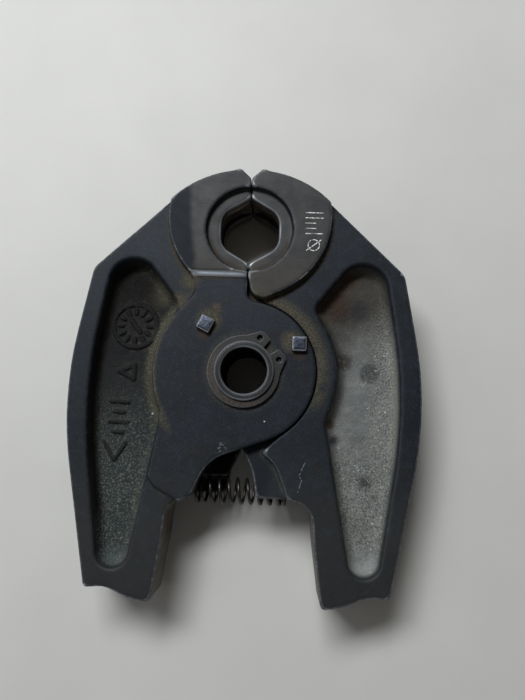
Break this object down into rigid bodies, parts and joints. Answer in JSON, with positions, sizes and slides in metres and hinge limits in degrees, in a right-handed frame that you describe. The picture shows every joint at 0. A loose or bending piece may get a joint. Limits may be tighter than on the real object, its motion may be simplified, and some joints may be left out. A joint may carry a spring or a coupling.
{
  "type": "pipe press jaw",
  "caption": "Pipe press jaw: two forged levers interleaved on a hollow pivot, hexagonal pressing mouth at one end, curved legs and a return spring between them.",
  "frame": {"origin": "on the pivot axis, halfway through the thickness", "axes": "+Z along the pivot axis towards the front face, +Y towards the press mouth, +X towards the right-hand lever"},
  "size_m": [0.1074, 0.132, 0.024],
  "materials": {
    "forged_steel": "black phosphated forging, satin, worn bright at the edges",
    "pivot_steel": "blackened turned steel, satin",
    "ring_steel": "blackened spring steel with dirt in the corners",
    "spring_steel": "dark oiled spring wire",
    "peg_steel": "bright worn steel, rusty at the foot"
  },
  "bodies": {
    "left_lever": {"left_jaw": "forged_steel", "front_peg_left": "peg_steel", "front_peg_right": "peg_steel", "return_spring": "spring_steel"},
    "right_lever": {"right_jaw": "forged_steel", "rear_peg_left": "peg_steel", "rear_peg_right": "peg_steel"},
    "pivot": {"pivot_tube": "pivot_steel", "front_retaining_ring": "ring_steel", "rear_retaining_ring": "ring_steel"}
  },
  "joints": [
    {"name": "jaw_open", "type": "hinge", "parent": "left_lever", "child": "right_lever", "pos_m": [0, 0, 0], "axis": [0, 0, -1], "range_deg": [0, 20], "deforming": ["return_spring"]},
    {"name": "pivot_spin", "type": "hinge", "parent": "left_lever", "child": "pivot", "pos_m": [0, 0, 0], "axis": [0, 0, 1], "continuous": true}
  ]
}
